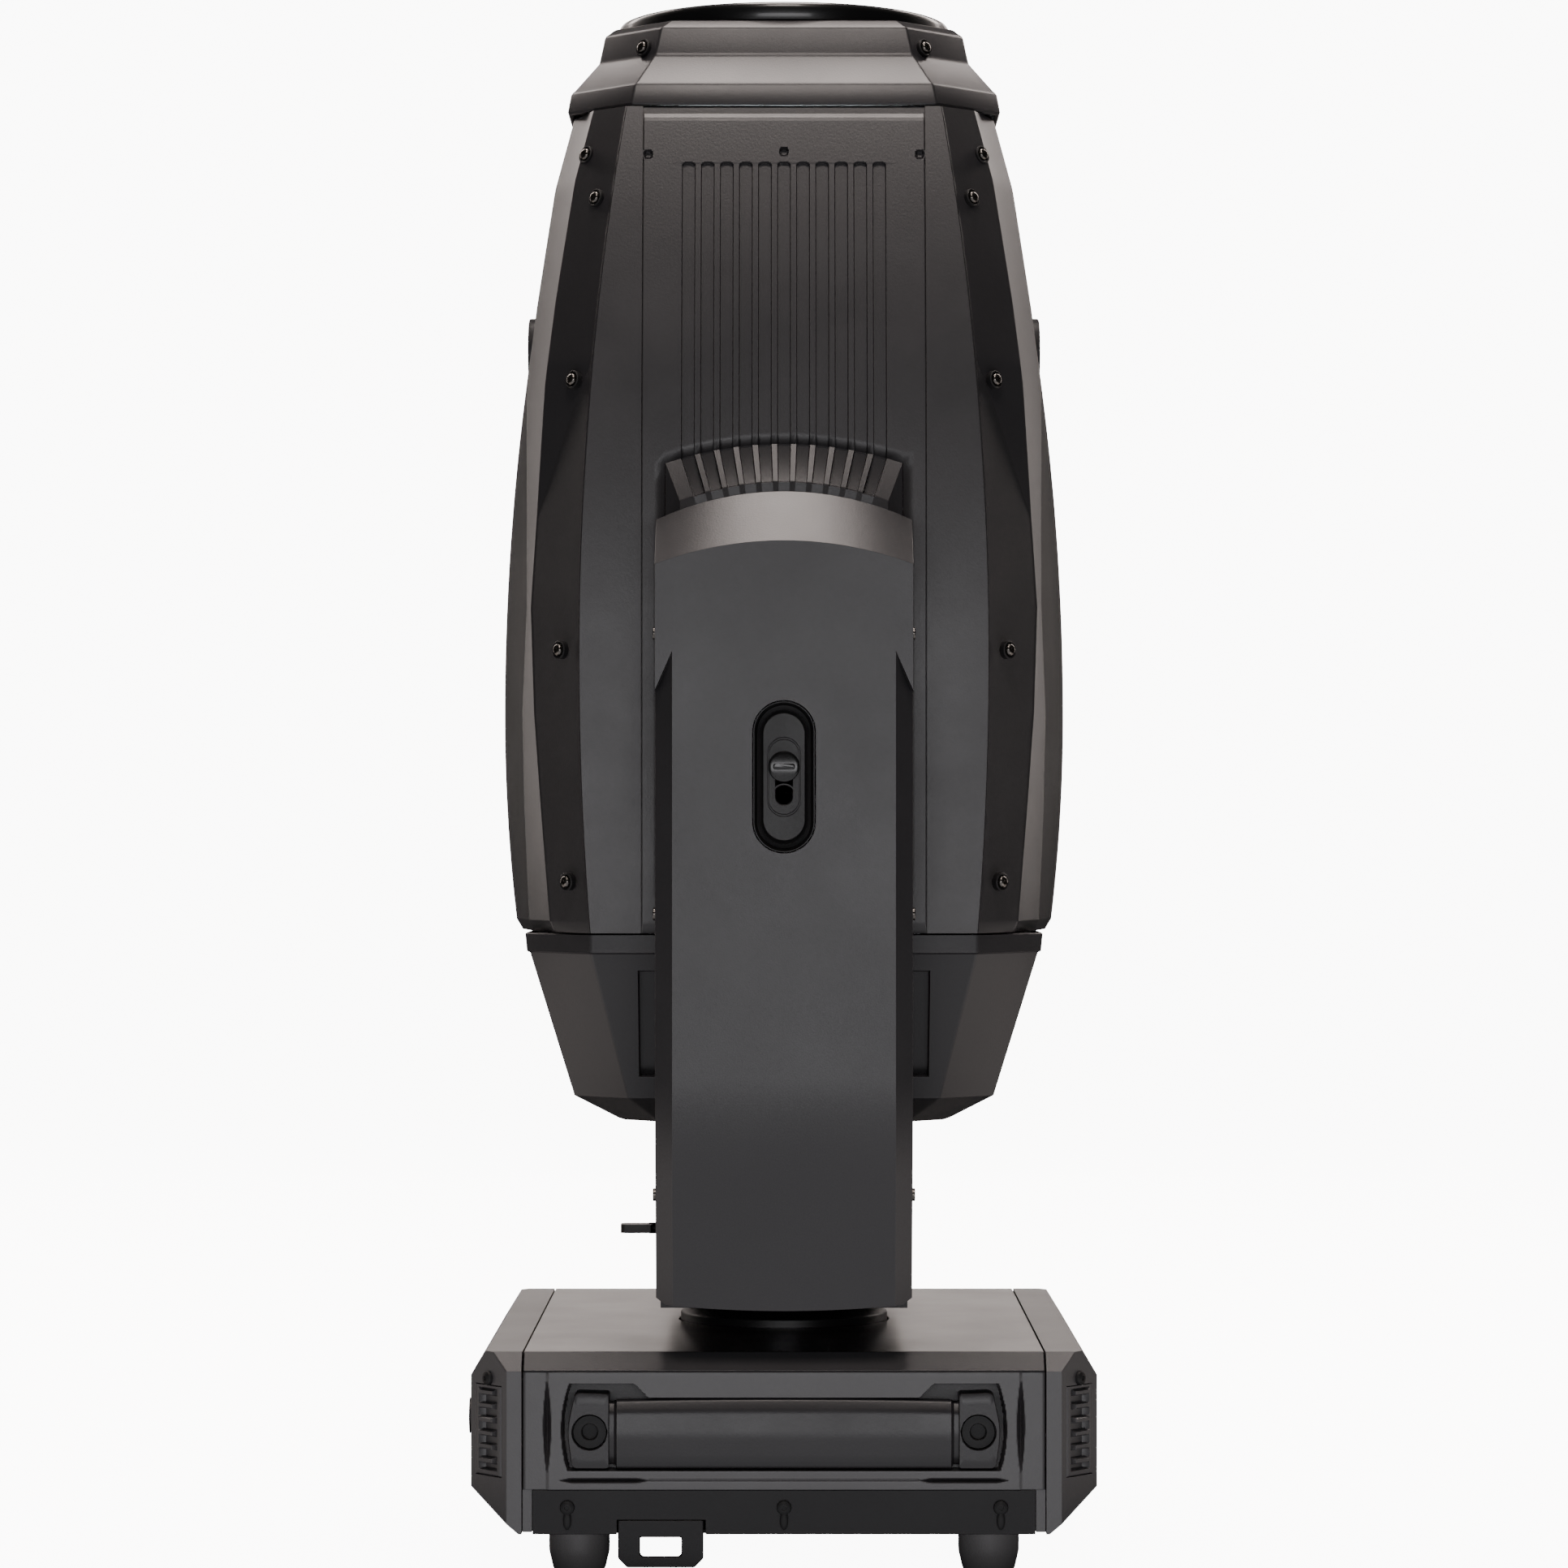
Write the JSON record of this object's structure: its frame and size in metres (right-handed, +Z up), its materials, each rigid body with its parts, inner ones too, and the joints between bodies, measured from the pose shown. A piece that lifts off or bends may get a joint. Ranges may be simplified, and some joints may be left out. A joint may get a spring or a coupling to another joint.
{
  "type": "moving head light",
  "caption": "Stage light whose tapered head tilts in a two-armed yoke that pans on a low base with carrying handles, for lighting a stage from a floor or a truss.",
  "frame": {"origin": "on the floor, on the pan axis, under the middle of the base", "axes": "+Z up along the pan axis, +Y along the tilt axis, +X towards the end with the display; the head points up"},
  "size_m": [0.3186, 0.43, 0.8],
  "materials": {
    "charcoal_abs": "fine-grained moulding",
    "steel_paint": "fine-textured powder coat",
    "cast_handle": "satin powder coat",
    "cast_aluminium": "black powder coat",
    "black_nylon": "satin",
    "gloss_black": "polished",
    "display_glass": "polished",
    "key_rubber": "matte",
    "foot_rubber": "matte",
    "belt_rubber": "matte",
    "screw_steel": "black oxide",
    "bare_aluminium": "satin",
    "motor_black": "satin",
    "circuit_board": "satin",
    "lens_glass": "polished"
  },
  "bodies": {
    "base": {"base_tray": "steel_paint", "base_top_cover": "charcoal_abs", "base_side_covers": "charcoal_abs", "carry_handle_left": "cast_handle", "carry_handle_right": "cast_handle", "corner_louvres": "charcoal_abs", "socket_end_cover": "charcoal_abs", "display_end_cover": "charcoal_abs", "data_sockets": "black_nylon", "power_sockets": "black_nylon", "display_window": "display_glass", "key_board": "circuit_board", "rubber_feet": "foot_rubber", "safety_eye": "steel_paint", "base_screws": "screw_steel", "power_supply": "bare_aluminium", "control_board": "circuit_board", "pan_shaft": "bare_aluminium", "pan_collar": "black_nylon"},
    "dial": {"menu_dial": "black_nylon"},
    "key_menu": {"menu_key": "key_rubber"},
    "key_back": {"back_key": "key_rubber"},
    "yoke": {"yoke_bridge": "cast_aluminium", "arm_cover_left": "charcoal_abs", "arm_cover_right": "charcoal_abs", "arm_frames": "steel_paint", "drive_motors": "motor_black", "axis_bearings": "screw_steel", "drive_belts": "belt_rubber", "tilt_lock_bezel": "black_nylon", "arm_cover_screws": "screw_steel"},
    "pan_pulley": {"pan_motor_pulley": "bare_aluminium"},
    "tilt_pulley": {"tilt_motor_pulley": "bare_aluminium"},
    "tilt_lock": {"tilt_lock_knob": "screw_steel"},
    "pan_lock": {"pan_lock_lever": "black_nylon"},
    "head": {"head_cover_left": "charcoal_abs", "head_cover_right": "charcoal_abs", "side_plate_left": "steel_paint", "side_plate_right": "steel_paint", "vent_panels": "steel_paint", "hub_bosses": "charcoal_abs", "tilt_hubs": "bare_aluminium", "tilt_wheel": "bare_aluminium", "nose_cowl": "charcoal_abs", "lens_bezel": "gloss_black", "front_lens": "lens_glass", "tail_cowl": "charcoal_abs", "tail_fan_frame": "black_nylon", "head_screws": "screw_steel", "lens_frame": "bare_aluminium", "light_engine": "bare_aluminium", "condenser": "lens_glass", "wheel_motors": "motor_black"},
    "tail_fan": {"tail_fan_rotor": "black_nylon"},
    "colour": {"colour_wheel": "bare_aluminium"},
    "pattern": {"pattern_wheel": "bare_aluminium"},
    "focus": {"focus_carriage": "bare_aluminium", "focus_lens": "lens_glass"},
    "zoom": {"zoom_carriage": "bare_aluminium", "zoom_lens": "lens_glass"}
  },
  "joints": [
    {"name": "pan", "type": "hinge", "parent": "base", "child": "yoke", "pos_m": [0, 0, 0.132], "axis": [0, 0, 1], "range_deg": [-270, 270]},
    {"name": "tilt", "type": "hinge", "parent": "yoke", "child": "head", "pos_m": [0, 0, 0.4], "axis": [0, 1, 0], "range_deg": [-120, 120]},
    {"name": "pan_pulley_turn", "type": "hinge", "parent": "yoke", "child": "pan_pulley", "pos_m": [0, 0.182, 0.154], "axis": [0, 0, 1], "range_deg": [-1485, 1485]},
    {"name": "tilt_pulley_turn", "type": "hinge", "parent": "yoke", "child": "tilt_pulley", "pos_m": [0, -0.174, 0.262], "axis": [0, 1, 0], "range_deg": [-660, 660]},
    {"name": "tilt_lock_slide", "type": "slide", "parent": "yoke", "child": "tilt_lock", "axis": [0, 0, 1], "range_m": [-0.0144, 0]},
    {"name": "pan_lock_slide", "type": "slide", "parent": "yoke", "child": "pan_lock", "axis": [1, 0, 0], "range_m": [0, 0.007]},
    {"name": "dial_turn", "type": "hinge", "parent": "base", "child": "dial", "pos_m": [0.15, 0.042, 0.071], "axis": [1, 0, 0], "continuous": true},
    {"name": "menu_key_press", "type": "slide", "parent": "base", "child": "key_menu", "axis": [1, 0, 0], "range_m": [-0.0012, 0], "stiffness_N_per_m": 400},
    {"name": "back_key_press", "type": "slide", "parent": "base", "child": "key_back", "axis": [1, 0, 0], "range_m": [-0.0012, 0], "stiffness_N_per_m": 400},
    {"name": "tail_fan_spin", "type": "hinge", "parent": "head", "child": "tail_fan", "pos_m": [0, 0, 0.237], "axis": [0, 0, 1], "continuous": true},
    {"name": "colour_wheel_spin", "type": "hinge", "parent": "head", "child": "colour", "pos_m": [0.044, 0, 0.3927], "axis": [0, 0, 1], "continuous": true},
    {"name": "pattern_wheel_spin", "type": "hinge", "parent": "head", "child": "pattern", "pos_m": [-0.042, 0, 0.4247], "axis": [0, 0, 1], "continuous": true},
    {"name": "focus_slide", "type": "slide", "parent": "head", "child": "focus", "axis": [0, 0, 1], "range_m": [-0.05, 0.06]},
    {"name": "zoom_slide", "type": "slide", "parent": "head", "child": "zoom", "axis": [0, 0, 1], "range_m": [-0.02, 0.08]}
  ],
  "couplings": [
    {"joint": "pan_pulley_turn", "follows": "pan", "ratio": -5.5},
    {"joint": "tilt_pulley_turn", "follows": "tilt", "ratio": 5.5}
  ]
}
